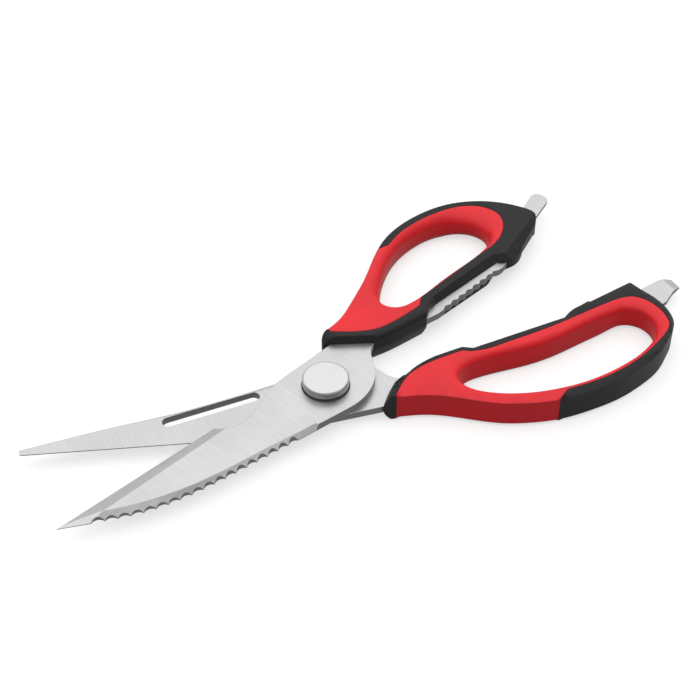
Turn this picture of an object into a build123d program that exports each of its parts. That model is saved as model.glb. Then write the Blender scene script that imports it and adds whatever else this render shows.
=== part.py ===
"""Kitchen shears: two stamped blades with overmoulded handles on one pivot.

Each half is drawn in its own frame, with x from the pivot towards that half's tip and y to its
left, and is turned half the rest opening about the pivot. The origin is on the pivot's axis, in
the plane of the handles' undersides, +Z points to the bolt's head and +X between the tips.
"""
from build123d import *
from math import atan2, cos, degrees, hypot, radians, sin
import os

os.makedirs("parts", exist_ok=True)

# Whole object
rest_opening = 20.75  # degrees between the halves
handle_height = 10.9
blade_thickness = 2.5
shear_height = handle_height / 2
upper_turn = rest_opening / 2
lower_turn = -rest_opening / 2
overrun = 4.0  # how far a cutting shape runs past what it cuts

# Lengths from the pivot, and the widths that the outlines follow
blade_length = 97.0
blade_width = 12.8
upper_handle_length = 112.0
upper_handle_width = 49.1
lower_handle_length = 119.0
lower_handle_width = 29.4

# Blade grinding
edge_land = 0.35
upper_bevel_width = 4.8
lower_bevel_width = 6.0
back_bevel_width = 1.4  # beside the scaler's straight run
tip_bevel_width = 2.6  # along the curve down to the tip
back_bevel_depth = 2.2
spine_bevel_width = 1.4
spine_bevel_depth = 0.6
scaler_pitch = 3.84
scaler_depth = 0.95
scaler_radius = 2.5
scaler_start = 19.1
scaler_teeth = 18
slot_width = 4.2
slot_start = 22.9
slot_end = 50.8
slot_offset = -3.8
slot_turn = 7.1  # degrees

# Nutcracker teeth on both tangs, between the handles
cracker_depth = 0.9
cracker_teeth = 7

# Handle mouldings: how far a face's edge stands back from the wall at mid height
ridge_setback = 2.2
block_setback = 3.4
under_setback = 4.6
beak_setback = 3.9
front_setback = 1.2
wall_setback = 1.5
collar_setback = 2.0

# Finger loops: how far they widen from the throat to the faces, and how deep the widening goes
upper_flare = 6.4
upper_flare_depth = 4.2
lower_flare = 1.5
lower_flare_depth = 2.4

# Tools behind the handles
driver_thickness = 1.2
lifter_thickness = 1.6

# Pivot
shank_diameter = 5.0
bore_clearance = 0.05
head_diameter = 15.1
head_height = 3.1
head_round = 0.8
washer_diameter = 15.6
washer_thickness = 0.4
lock_washer_diameter = 12.0
lock_washer_thickness = 0.5
nut_diameter = 13.0
nut_bevel = 0.5
nut_wall = 0.7
spanner_hole_diameter = 1.6
spanner_hole_depth = 1.0
spanner_hole_radius = 4.6


# Outlines, as shares of a half's length and width

upper_beak_share = (-0.092, -0.318)
upper_front_share = (-0.217, -0.122)
upper_collar_shares = [(-0.217, -0.122), (-0.268, -0.108), (-0.339, -0.104), (-0.409, -0.106)]
upper_recess_shares = [(-0.445, -0.177), (-0.754, -0.273)]
upper_block_shares = [(-0.754, -0.273), (-0.781, -0.234), (-0.825, -0.236), (-0.872, -0.303)]
upper_ridge_shares = [(-0.872, -0.303), (-0.973, -0.422)]
upper_back_shares = [
    (-0.973, -0.422), (-1.000, -0.501), (-0.989, -0.603), (-0.896, -0.862), (-0.804, -0.969),
    (-0.692, -1.000), (-0.534, -0.925), (-0.354, -0.644), (-0.265, -0.515), (-0.177, -0.409),
    (-0.132, -0.383),
]
upper_nose_share = (-0.104, -0.363)
upper_loop_shares = [
    (-0.732, -0.407), (-0.625, -0.360), (-0.536, -0.326), (-0.446, -0.287), (-0.402, -0.279),
    (-0.362, -0.299), (-0.341, -0.371), (-0.361, -0.481), (-0.446, -0.676), (-0.536, -0.807),
    (-0.625, -0.872), (-0.696, -0.884), (-0.768, -0.843), (-0.814, -0.745), (-0.827, -0.621),
    (-0.796, -0.481),
]
upper_flare_shares = [
    0.14, 0.11, 0.11, 0.11, 0.14, 0.19, 0.33, 0.58, 0.50, 0.37, 0.30, 0.32, 0.50, 0.85, 1.00, 0.40,
]
flare_profile_shares = [(0, 1), (0.3, 0.3), (1, 0)]  # of the flare's depth and of its width
upper_seam_front_shares = [
    (-0.132, -0.348), (-0.179, -0.263), (-0.250, -0.183), (-0.304, -0.173), (-0.413, -0.196),
]
upper_seam_bar_shares = [(-0.442, -0.257), (-0.714, -0.371)]
upper_seam_back_shares = [
    (-0.714, -0.371), (-0.804, -0.413), (-0.870, -0.513), (-0.900, -0.642), (-0.889, -0.762),
    (-0.848, -0.862), (-0.754, -0.931), (-0.670, -0.937), (-0.580, -0.902), (-0.520, -0.845),
]
upper_seam_outside_shares = [
    (-0.455, -0.859), (-0.455, -1.200), (-0.132, -1.200), (-0.132, -0.348),
]

lower_front_shares = [(-0.124, 0.456), (-0.147, 0.310), (-0.182, 0.156)]
lower_collar_shares = [
    (-0.182, 0.156), (-0.215, 0.088), (-0.245, 0.031), (-0.313, -0.044), (-0.392, -0.092),
]
lower_recess_shares = [(-0.420, -0.041), (-0.707, -0.231)]
lower_block_shares = [(-0.707, -0.231), (-0.742, -0.333), (-0.773, -0.378)]
lower_stub_shares = [(-0.781, -0.398), (-0.797, -0.422), (-0.803, -0.408)]
lower_ridge_shares = [(-0.803, -0.408), (-0.942, -0.592)]
lower_back_shares = [
    (-0.953, -0.565), (-0.966, -0.429), (-0.987, -0.252), (-0.999, 0.061), (-0.990, 0.218),
    (-0.958, 0.391), (-0.908, 0.595), (-0.840, 0.759), (-0.756, 0.895), (-0.672, 0.966),
    (-0.588, 1.000), (-0.504, 0.969), (-0.420, 0.878), (-0.336, 0.707), (-0.252, 0.544),
    (-0.202, 0.493), (-0.162, 0.469),
]
lower_loop_shares = [
    (-0.370, 0.218), (-0.420, 0.146), (-0.504, 0.119), (-0.588, 0.099), (-0.672, 0.034),
    (-0.756, -0.068), (-0.840, -0.167), (-0.891, -0.201), (-0.927, -0.109), (-0.943, 0.088),
    (-0.929, 0.286), (-0.889, 0.449), (-0.840, 0.575), (-0.756, 0.714), (-0.672, 0.796),
    (-0.566, 0.820), (-0.479, 0.776), (-0.395, 0.646), (-0.353, 0.497), (-0.345, 0.354),
]
lower_seam_front_shares = [
    (-0.160, 0.459), (-0.182, 0.333), (-0.209, 0.204), (-0.240, 0.119), (-0.294, 0.048),
    (-0.386, -0.010),
]
lower_seam_back_shares = [
    (-0.405, 0.031), (-0.439, 0.048), (-0.504, 0.015), (-0.630, -0.078), (-0.714, -0.160),
    (-0.845, -0.299), (-0.890, -0.330), (-0.924, -0.316), (-0.951, -0.231), (-0.971, -0.078),
    (-0.978, 0.109), (-0.971, 0.248), (-0.947, 0.357), (-0.897, 0.503), (-0.840, 0.646),
    (-0.756, 0.789), (-0.672, 0.867), (-0.602, 0.898),
]
lower_seam_outside_shares = [
    (-0.559, 1.037), (-0.559, 1.300), (-0.160, 1.300), (-0.160, 0.459),
]

# Blades, as shares of the blade's length and width
upper_notch_shares = [
    (0.136, -0.781), (0.206, -0.500), (0.258, -0.273), (0.327, -0.145), (0.375, -0.266),
    (0.391, -0.555),
]
upper_edge_tip_share = (1.000, -0.023)
upper_back_tip_share = (0.909, 0.289)
upper_scaler_shares = [
    (0.474, 1.000), (0.598, 0.961), (0.711, 0.844), (0.814, 0.617), (0.909, 0.289),
]
upper_heel_neck_shares = [(-0.132, -1.141), (-0.052, -1.023), (0.052, -0.898), (0.136, -0.781)]
upper_neck_back_shares = [
    (-0.103, 0.797), (-0.157, 0.469), (-0.196, 0.000), (-0.221, -0.320), (-0.261, -0.523),
]
upper_neck_corner_share = (-0.070, 1.000)
lower_notch_shares = [(0.227, 0.953), (0.309, 0.727), (0.392, 0.859), (0.433, 0.891)]
lower_tip_shares = [(1.002, 0.070), (1.002, -0.086)]
lower_spine_shares = [
    (1.002, -0.086), (0.722, -0.227), (0.515, -0.312), (0.309, -0.469), (0.139, -0.656),
]
lower_neck_shares = [
    (0.139, -0.656), (0.103, -0.672), (0.052, -0.875), (0.000, -1.047), (-0.052, -1.094),
    (-0.103, -0.969), (-0.155, -0.695), (-0.190, -0.437), (-0.212, -0.133), (-0.240, 0.070),
]
lower_neck_corner_share = (-0.155, 0.953)

# Tangs inside the handles, as shares of the handle's length and width
upper_tang_root_shares = [(-0.300, -0.133), (-0.409, -0.106), (-0.455, -0.104)]
upper_tang_rear_shares = [
    (-0.714, -0.222), (-0.732, -0.208), (-0.750, -0.212), (-0.786, -0.242), (-0.860, -0.330),
    (-0.940, -0.450),
]
upper_tang_back_shares = [
    (-0.940, -0.600), (-0.860, -0.455), (-0.714, -0.360), (-0.446, -0.240), (-0.150, -0.355),
]
upper_crest_shares = [(-0.478, -0.113), (-0.693, -0.196)]
lower_crest_shares = [(-0.450, -0.172), (-0.652, -0.310)]
lower_tang_root_shares = [(-0.245, 0.080), (-0.392, -0.080), (-0.425, -0.090)]
lower_tang_rear_shares = [
    (-0.672, -0.300), (-0.690, -0.330), (-0.739, -0.300), (-0.807, -0.357), (-0.930, -0.520),
]
lower_tang_back_shares = [
    (-0.960, -0.230), (-0.900, -0.275), (-0.714, -0.100), (-0.395, 0.060), (-0.200, 0.370),
]

# Tools behind the handles, as shares of the handle's length and width
driver_shares = [
    (-0.940, -0.440), (-1.103, -0.609), (-1.114, -0.640), (-1.111, -0.693), (-1.097, -0.737),
    (-1.079, -0.733), (-0.940, -0.570),
]
lifter_shares = [
    (-0.940, -0.540), (-1.009, -0.643), (-1.057, -0.711), (-1.100, -0.718), (-1.108, -0.558),
    (-1.074, -0.469), (-1.040, -0.337), (-0.950, -0.160),
]


def spread(shares, length, width):
    """Points of an outline from its shares of a length and a width."""
    return [(along * length, across * width) for along, across in shares]


def on_upper(shares):
    return spread(shares, upper_handle_length, upper_handle_width)


def on_lower(shares):
    return spread(shares, lower_handle_length, lower_handle_width)


def on_blade(shares):
    return spread(shares, blade_length, blade_width)


def half_plane(turn, height):
    """Drawing plane of one half: x along its blade, at a height over the undersides."""
    return Plane.XY.rotated((0, 0, turn)).offset(height)


def beyond(start, end):
    """The point one overrun past the end of a line."""
    run = hypot(end[0] - start[0], end[1] - start[1])
    reach = 1 + overrun / run
    return (start[0] + (end[0] - start[0]) * reach, start[1] + (end[1] - start[1]) * reach)


def grind(turn, start, end, height, width, rise):
    """Cut a flat facet along an edge that has its material to the left of start to end."""
    heading = degrees(atan2(end[1] - start[1], end[0] - start[0])) + turn
    along = (cos(radians(heading)), sin(radians(heading)), 0)
    place = (
        start[0] * cos(radians(turn)) - start[1] * sin(radians(turn)),
        start[0] * sin(radians(turn)) + start[1] * cos(radians(turn)),
        height,
    )
    clear = rise + (overrun if rise > 0 else -overrun)
    with BuildSketch(Plane(origin=place, x_dir=(-along[1], along[0], 0), z_dir=along)) as facet:
        with BuildLine():
            Polyline(
                (-overrun, 0), (0, 0), (width, rise), (width, clear), (-overrun, clear),
                close=True,
            )
        make_face()
    reach = hypot(end[0] - start[0], end[1] - start[1])
    extrude(facet.sketch, amount=reach, mode=Mode.SUBTRACT)


def arcs_through(points):
    """Arcs through each three points in turn, with a line to the last point of an even count."""
    for start, middle, end in zip(points[:-2:2], points[1:-1:2], points[2::2]):
        ThreePointArc(start, middle, end)
    if len(points) % 2 == 0:
        Line(*points[-2:])


def raise_walls(outline, mode=Mode.ADD):
    """A solid with straight walls over an outline drawn on the undersides, up to the handles' tops."""
    low = outline.sketch.face()
    loft([low, low.moved(Location((0, 0, handle_height)))], ruled=True, mode=mode)


def cracker_row(crests, side):
    """Crests and valleys of a row from the first crest to the last valley; side is +1 or -1."""
    (x0, y0), (x1, y1) = crests
    length = hypot(x1 - x0, y1 - y0)
    pitch = length / (cracker_teeth - 1 / 2)
    along = ((x1 - x0) / length, (y1 - y0) / length)
    deep = (-along[1] * side * cracker_depth, along[0] * side * cracker_depth)
    points = []
    for tooth in range(cracker_teeth):
        crest = tooth * pitch
        valley = crest + pitch / 2
        points.append((x0 + along[0] * crest, y0 + along[1] * crest))
        points.append((x0 + along[0] * valley + deep[0], y0 + along[1] * valley + deep[1]))
    return points


def beak_line(beak, side):
    """A line across a half through its beak; side +1 or -1 is where its outer wall lies."""
    ends = [(beak[0], beak[1] + side * overrun), (beak[0], beak[1] - side * beak_setback)]
    return ends if side < 0 else ends[::-1]


def widened(points, amounts):
    """A closed outline's points moved square to it, to the left of its run, by one length each."""
    moved = []
    for index, (x, y) in enumerate(points):
        before = points[index - 1]
        after = points[(index + 1) % len(points)]
        run = hypot(after[0] - before[0], after[1] - before[1])
        left = ((before[1] - after[1]) / run, (after[0] - before[0]) / run)
        moved.append((x + left[0] * amounts[index], y + left[1] * amounts[index]))
    return moved


def cut_finger_loop(turn, throat, flares, depth):
    """Cut a hole that is narrowest at mid height and widens to both faces."""
    top = [(handle_height + overrun, 1)]
    top += [(handle_height - share * depth, width) for share, width in flare_profile_shares]
    bottom = [(handle_height - height, width) for height, width in top]
    sections = []
    for height, width in bottom + top[::-1]:
        with BuildSketch(half_plane(turn, height)) as section:
            with BuildLine():
                Spline(*widened(throat, [width * flare for flare in flares]), periodic=True)
            make_face()
        sections.append(section.sketch.face())
    loft(sections, ruled=True, mode=Mode.SUBTRACT)


# Upper blade: from the tip through the pivot eye and the tang to the screwdriver tip

upper_heel = on_blade([upper_notch_shares[-1]])[0]
upper_notch_start = on_blade([upper_notch_shares[0]])[0]
upper_tip = on_blade([upper_edge_tip_share])[0]
upper_scaler = on_blade(upper_scaler_shares)
scaler_curve = Spline(*upper_scaler)

with BuildPart() as upper_blade:
    with BuildSketch(half_plane(upper_turn, shear_height)):
        with BuildLine():
            Line(upper_heel, upper_tip)
            Line(upper_tip, upper_scaler[-1])
            Spline(*reversed(upper_scaler))
            neck_corner = on_blade([upper_neck_corner_share])[0]
            Line(upper_scaler[0], neck_corner)
            neck_back = on_blade(upper_neck_back_shares)
            Spline(neck_corner, *neck_back)
            tang_inner = [
                neck_back[-1], *on_upper(upper_tang_root_shares),
                *cracker_row(on_upper(upper_crest_shares), 1), *on_upper(upper_tang_rear_shares),
                *on_upper(upper_tang_back_shares),
            ]
            Polyline(*tang_inner)
            neck_front = on_blade(upper_heel_neck_shares)
            Line(tang_inner[-1], neck_front[0])
            Spline(*neck_front)
            Spline(*on_blade(upper_notch_shares))
        make_face()
    extrude(amount=blade_thickness)
    driver_height = shear_height + (blade_thickness - driver_thickness) / 2
    with BuildSketch(half_plane(upper_turn, driver_height)):
        with BuildLine():
            Polyline(*on_upper(driver_shares), close=True)
        make_face()
    extrude(amount=driver_thickness)
    grind(
        upper_turn, upper_heel, beyond(upper_heel, upper_tip), shear_height + edge_land,
        upper_bevel_width, blade_thickness - edge_land,
    )
    # The back is bevelled on top, in flats that follow its curve down to the tip
    back_corners = [
        upper_tip, upper_scaler[-1], upper_scaler[-2], upper_scaler[-4], upper_scaler[0],
        (upper_notch_start[0], upper_scaler[0][1]),
    ]
    for end, start in zip(back_corners, back_corners[1:]):
        width = tip_bevel_width if start[0] > upper_scaler[0][0] else back_bevel_width
        grind(
            upper_turn, end, start, shear_height + blade_thickness - back_bevel_depth, width,
            back_bevel_depth,
        )
    with Locations(half_plane(upper_turn, shear_height)):
        Hole(shank_diameter / 2 + bore_clearance)
    # Fish scaler: a row of round scallops along the back
    scallops = []
    straight = upper_scaler[0][0] - scaler_start
    for tooth in range(scaler_teeth):
        way = (tooth + 1 / 2) * scaler_pitch
        if way < straight:
            at = Vector(scaler_start + way, upper_scaler[0][1])
            outward = Vector(0, 1)
        else:
            share = min((way - straight) / scaler_curve.length, 1)
            at = scaler_curve @ share
            tangent = scaler_curve % share
            outward = Vector(-tangent.Y, tangent.X)
        scallops.append(at + outward * (scaler_radius - scaler_depth))
    with BuildSketch(half_plane(upper_turn, shear_height)):
        with Locations(*scallops):
            Circle(scaler_radius)
    extrude(amount=blade_thickness, mode=Mode.SUBTRACT)
upper_blade.part.label = "upper_blade"


# Lower blade: from the blunt tip through the pivot eye and the tang to the lifter

lower_heel = on_blade([lower_notch_shares[-1]])[0]
lower_tip, lower_tip_back = on_blade(lower_tip_shares)
lower_spine = on_blade(lower_spine_shares)

with BuildPart() as lower_blade:
    with BuildSketch(half_plane(lower_turn, shear_height)):
        with BuildLine():
            Line(lower_heel, lower_tip)
            Line(lower_tip, lower_tip_back)
            Spline(*lower_spine)
            neck = on_blade(lower_neck_shares)
            Spline(*neck)
            tang_inner = [
                neck[-1], *on_lower(lower_tang_root_shares),
                *cracker_row(on_lower(lower_crest_shares), -1),
                *on_lower(lower_tang_rear_shares), *on_lower(lower_tang_back_shares),
            ]
            Polyline(*tang_inner)
            neck_corner = on_blade([lower_neck_corner_share])[0]
            notch = on_blade(lower_notch_shares)
            Polyline(tang_inner[-1], neck_corner, notch[0])
            Spline(*notch)
        make_face()
    extrude(amount=-blade_thickness)
    lifter_height = shear_height - (blade_thickness - lifter_thickness) / 2
    with BuildSketch(half_plane(lower_turn, lifter_height)):
        with BuildLine():
            Polyline(*on_lower(lifter_shares), close=True)
        make_face()
    extrude(amount=-lifter_thickness)
    grind(
        lower_turn, beyond(lower_heel, lower_tip), lower_heel, shear_height - edge_land,
        lower_bevel_width, edge_land - blade_thickness,
    )
    grind(
        lower_turn, lower_spine[-1], lower_spine[2], shear_height - spine_bevel_depth,
        spine_bevel_width, spine_bevel_depth,
    )
    with BuildSketch(half_plane(lower_turn, shear_height)):
        with Locations(Plane(origin=(slot_start, slot_offset, 0)).rotated((0, 0, slot_turn))):
            with Locations(((slot_end - slot_start) / 2, 0)):
                SlotCenterToCenter(slot_end - slot_start, slot_width)
    extrude(amount=-blade_thickness, mode=Mode.SUBTRACT)
    with Locations(half_plane(lower_turn, shear_height)):
        Hole(shank_diameter / 2)
lower_blade.part.label = "lower_blade"


# Upper handle: the whole moulding, then its black core and its red grip

upper_beak, upper_front = on_upper([upper_beak_share, upper_front_share])
upper_ridge = on_upper(upper_ridge_shares)
upper_recess = on_upper(upper_recess_shares)
upper_collar = on_upper(upper_collar_shares)
upper_block = on_upper(upper_block_shares)

upper_back = on_upper(upper_back_shares)
upper_nose = on_upper([upper_nose_share])[0]

with BuildSketch(half_plane(upper_turn, 0)) as upper_outline:
    with BuildLine():
        Line(upper_beak, upper_front)
        Spline(*upper_collar)
        Line(upper_collar[-1], upper_recess[0])
        Line(*upper_recess)
        Spline(*upper_block)
        Line(*upper_ridge)
        Spline(*upper_back)
        Spline(upper_back[-1], upper_nose, upper_beak)
    make_face()

with BuildPart() as upper_moulding:
    raise_walls(upper_outline)
    cut_finger_loop(
        upper_turn, on_upper(upper_loop_shares), [share * upper_flare for share in upper_flare_shares],
        upper_flare_depth,
    )
    grind(upper_turn, *upper_recess, shear_height, wall_setback, shear_height)
    for rise in (shear_height, -shear_height):
        grind(upper_turn, upper_beak, upper_front, shear_height, front_setback, rise)
        grind(upper_turn, *beak_line(upper_beak, -1), shear_height, beak_setback, rise)
    # The block behind the teeth slopes from its ridge and is cut away steeply underneath
    block_bump = (beyond(upper_block[-1], upper_block[1]), upper_block[-1])
    grind(upper_turn, *upper_ridge, shear_height, ridge_setback, shear_height)
    grind(
        upper_turn, *block_bump, shear_height + blade_thickness, block_setback,
        shear_height - blade_thickness,
    )
    ridge_line = (upper_ridge[0], beyond(upper_ridge[0], beyond(*upper_ridge)))
    for line in (ridge_line, block_bump):
        grind(upper_turn, *line, shear_height, under_setback, -shear_height)
    collar_line = (upper_collar[-2], beyond(*upper_collar[-2:]))
    collar_line = (beyond(*reversed(collar_line)), collar_line[1])
    grind(upper_turn, *collar_line, shear_height, collar_setback, -shear_height)

with BuildSketch(half_plane(upper_turn, 0)) as upper_grip_outline:
    with BuildLine():
        seam_front = on_upper(upper_seam_front_shares)
        seam_bar = on_upper(upper_seam_bar_shares)
        seam_back = on_upper(upper_seam_back_shares)
        Spline(*seam_front)
        Polyline(seam_front[-1], *seam_bar)
        arcs_through(seam_back)
        Polyline(seam_back[-1], *on_upper(upper_seam_outside_shares))
    make_face()

with BuildPart() as upper_handle_core:
    add(upper_moulding.part)
    raise_walls(upper_grip_outline, Mode.SUBTRACT)
    add(upper_blade.part, mode=Mode.SUBTRACT)
upper_handle_core.part.label = "upper_handle_core"

with BuildPart() as upper_handle_grip:
    add(upper_moulding.part)
    raise_walls(upper_grip_outline, Mode.INTERSECT)
    add(upper_blade.part, mode=Mode.SUBTRACT)
upper_handle_grip.part.label = "upper_handle_grip"


# Lower handle: the whole moulding, then its black core and its red grip

lower_front = on_lower(lower_front_shares)
lower_beak = lower_front[0]
lower_ridge = on_lower(lower_ridge_shares)
lower_recess = on_lower(lower_recess_shares)

lower_collar = on_lower(lower_collar_shares)
lower_block = on_lower(lower_block_shares)
lower_back = on_lower(lower_back_shares)

with BuildSketch(half_plane(lower_turn, 0)) as lower_outline:
    with BuildLine():
        Spline(*lower_front)
        Spline(*lower_collar)
        Line(lower_collar[-1], lower_recess[0])
        Line(*lower_recess)
        Spline(*lower_block)
        Polyline(lower_block[-1], *on_lower(lower_stub_shares))
        Line(*lower_ridge)
        Line(lower_ridge[-1], lower_back[0])
        Spline(*lower_back)
        Line(lower_back[-1], lower_beak)
    make_face()

with BuildPart() as lower_moulding:
    raise_walls(lower_outline)
    cut_finger_loop(
        lower_turn, on_lower(lower_loop_shares), [lower_flare] * len(lower_loop_shares),
        lower_flare_depth,
    )
    for rise in (shear_height, -shear_height):
        grind(lower_turn, lower_front[-1], lower_beak, shear_height, front_setback, rise)
        grind(lower_turn, *beak_line(lower_beak, 1), shear_height, beak_setback, rise)
    grind(lower_turn, *reversed(lower_ridge), shear_height, ridge_setback, -shear_height)

with BuildSketch(half_plane(lower_turn, 0)) as lower_grip_outline:
    with BuildLine():
        seam_front = on_lower(lower_seam_front_shares)
        seam_back = on_lower(lower_seam_back_shares)
        Spline(*seam_front)
        Line(seam_front[-1], seam_back[0])
        arcs_through(seam_back)
        Polyline(seam_back[-1], *on_lower(lower_seam_outside_shares))
    make_face()

with BuildPart() as lower_handle_core:
    add(lower_moulding.part)
    raise_walls(lower_grip_outline, Mode.SUBTRACT)
    add(lower_blade.part, mode=Mode.SUBTRACT)
lower_handle_core.part.label = "lower_handle_core"

with BuildPart() as lower_handle_grip:
    add(lower_moulding.part)
    raise_walls(lower_grip_outline, Mode.INTERSECT)
    add(lower_blade.part, mode=Mode.SUBTRACT)
lower_handle_grip.part.label = "lower_handle_grip"


# Pivot: a wide headed bolt, a washer under the head, a lock washer and a cap nut

upper_face = shear_height + blade_thickness
lower_face = shear_height - blade_thickness
nut_height = lower_face - lock_washer_thickness

with BuildPart() as pivot_washer:
    with BuildSketch(Plane.XY.offset(upper_face)):
        Circle(washer_diameter / 2)
        Circle(shank_diameter / 2, mode=Mode.SUBTRACT)
    extrude(amount=washer_thickness)
pivot_washer.part.label = "pivot_washer"

head_base = upper_face + washer_thickness
head_top = head_base + head_height
head_radius = head_diameter / 2
rim_middle = head_round * (1 - cos(radians(45)))

with BuildPart() as pivot_bolt:
    with BuildSketch(Plane.XZ):
        with BuildLine():
            Polyline(
                (0, head_base), (head_radius, head_base), (head_radius, head_top - head_round),
                (head_radius - rim_middle, head_top - rim_middle),
                (head_radius - head_round, head_top), (0, head_top), close=True,
            )
        make_face()
    revolve(axis=Axis.Z)
    with BuildSketch(Plane.XY.offset(nut_wall)):
        Circle(shank_diameter / 2)
    extrude(amount=head_base - nut_wall)
pivot_bolt.part.label = "pivot_bolt"

with BuildPart() as lock_washer:
    with BuildSketch(Plane.XY.offset(nut_height)):
        Circle(lock_washer_diameter / 2)
        Circle(shank_diameter / 2, mode=Mode.SUBTRACT)
    extrude(amount=lock_washer_thickness)
lock_washer.part.label = "lock_washer"

with BuildPart() as pivot_nut:
    with BuildSketch():
        Circle(nut_diameter / 2)
    extrude(amount=nut_height)
    chamfer(pivot_nut.edges().sort_by(Axis.Z)[0], nut_bevel)
    with BuildSketch(Plane.XY.offset(nut_wall)):
        Circle(shank_diameter / 2)
    extrude(amount=nut_height - nut_wall, mode=Mode.SUBTRACT)
    with BuildSketch():
        with PolarLocations(spanner_hole_radius, 2):
            Circle(spanner_hole_diameter / 2)
    extrude(amount=spanner_hole_depth, mode=Mode.SUBTRACT)
pivot_nut.part.label = "pivot_nut"


# Files
for piece in (
    upper_blade, lower_blade, upper_handle_core, upper_handle_grip, lower_handle_core,
    lower_handle_grip, pivot_bolt, pivot_washer, lock_washer, pivot_nut,
):
    export_step(piece.part, f"parts/{piece.part.label}.step")
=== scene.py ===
"""Kitchen shears on a pale floor: detailed blades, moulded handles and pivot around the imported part.

Each half is drawn flat in its own frame, in millimetres, x from the pivot towards its tip and y to
its left, with height 0 at the plane where the blades meet. place() turns a half to its rest angle
and gives metres in the part's frame.
"""
import math

import bmesh
import bpy
import numpy as np
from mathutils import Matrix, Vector
from mathutils.geometry import delaunay_2d_cdt


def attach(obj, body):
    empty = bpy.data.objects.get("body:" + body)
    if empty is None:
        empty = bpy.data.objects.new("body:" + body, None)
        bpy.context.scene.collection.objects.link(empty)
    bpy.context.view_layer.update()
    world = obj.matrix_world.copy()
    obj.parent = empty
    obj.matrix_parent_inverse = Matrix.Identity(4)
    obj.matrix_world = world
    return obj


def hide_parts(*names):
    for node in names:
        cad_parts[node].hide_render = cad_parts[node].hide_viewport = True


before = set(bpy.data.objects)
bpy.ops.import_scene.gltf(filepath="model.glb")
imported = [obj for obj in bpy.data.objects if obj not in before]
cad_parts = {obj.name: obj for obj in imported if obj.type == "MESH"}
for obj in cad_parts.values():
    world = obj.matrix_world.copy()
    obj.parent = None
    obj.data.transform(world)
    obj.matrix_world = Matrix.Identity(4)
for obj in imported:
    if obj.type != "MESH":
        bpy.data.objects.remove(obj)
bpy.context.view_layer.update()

MM = 0.001
SHEAR_HEIGHT = 5.45
REST_OPENING = 20.75
UPPER_TURN = REST_OPENING / 2
LOWER_TURN = -REST_OPENING / 2
PLATE = 2.5
HALF_HANDLE = 5.45

# Lengths and widths that the outlines' shares are taken of
BLADE = (97.0, 12.8)
UPPER_HANDLE = (112.0, 49.1)
LOWER_HANDLE = (119.0, 29.4)

# Ends nearer than MEETING share a point, and mesh lines stop LINE_CLEARANCE short of a border
MEETING = 0.05
LINE_CLEARANCE = 0.02
DRAWING_TOLERANCE = 1e-4
POINTS_AT_ONCE = 2000
WELD = 2e-6
SLIVER = 1e-6
NARROWEST = 1e-4


# Drawing flat outlines


def spread(shares, size):
    """Points from shares of a length and a width."""
    return np.array(shares, float) * np.array(size)


def smooth(points, spacing=0.5, closed=False):
    """Points along the natural cubic curve through the given points."""
    points = np.asarray(points, float)
    if closed:
        count = len(points)
        wrap = 4
        points = np.vstack([points[-wrap:], points, points[:wrap + 1]])
    steps = np.hypot(*np.diff(points, axis=0).T)
    knots = np.concatenate([[0], np.cumsum(steps)])
    n = len(points)
    matrix = np.zeros((n, n))
    right = np.zeros((n, 2))
    matrix[0, 0] = matrix[-1, -1] = 1
    for i in range(1, n - 1):
        before, after = steps[i - 1], steps[i]
        matrix[i, i - 1:i + 2] = before, 2 * (before + after), after
        right[i] = 6 * (
            (points[i + 1] - points[i]) / after - (points[i] - points[i - 1]) / before
        )
    bend = np.linalg.solve(matrix, right)
    first, last = (wrap, wrap + count) if closed else (0, n - 1)
    samples = max(2, int(round((knots[last] - knots[first]) / spacing)) + 1)
    at = np.linspace(knots[first], knots[last], samples)
    span = np.clip(np.searchsorted(knots, at, side="right") - 1, 0, n - 2)
    h = steps[span][:, None]
    a = (knots[span + 1] - at)[:, None] / h
    b = (at - knots[span])[:, None] / h
    curve = (
        a * points[span] + b * points[span + 1]
        + ((a ** 3 - a) * bend[span] + (b ** 3 - b) * bend[span + 1]) * h ** 2 / 6
    )
    return curve[:-1] if closed else curve


def straight(points, spacing=0.8):
    """Points along a line with corners."""
    points = np.asarray(points, float)
    run = []
    for start, end in zip(points[:-1], points[1:]):
        samples = max(1, int(round(np.hypot(*(end - start)) / spacing)))
        run.extend(start + (end - start) * k / samples for k in range(samples))
    run.append(points[-1])
    return np.array(run)


def chain(*runs):
    """One closed outline from runs that meet end to end."""
    joined = [runs[0]]
    for run in runs[1:]:
        if np.hypot(*(run[0] - joined[-1][-1])) < MEETING:
            run = run[1:]
        joined.append(run)
    outline = np.vstack(joined)
    if np.hypot(*(outline[0] - outline[-1])) < MEETING:
        outline = outline[:-1]
    return outline


def inside(points, loop):
    """Which points lie inside a closed loop."""
    x, y = points[:, 0], points[:, 1]
    result = np.zeros(len(points), bool)
    x0, y0 = loop[:, 0], loop[:, 1]
    x1, y1 = np.roll(x0, -1), np.roll(y0, -1)
    for k in range(len(loop)):
        if y0[k] == y1[k]:
            continue
        crosses = (y0[k] > y) != (y1[k] > y)
        reach = x0[k] + (y - y0[k]) * (x1[k] - x0[k]) / (y1[k] - y0[k])
        result ^= crosses & (x < reach)
    return result


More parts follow.
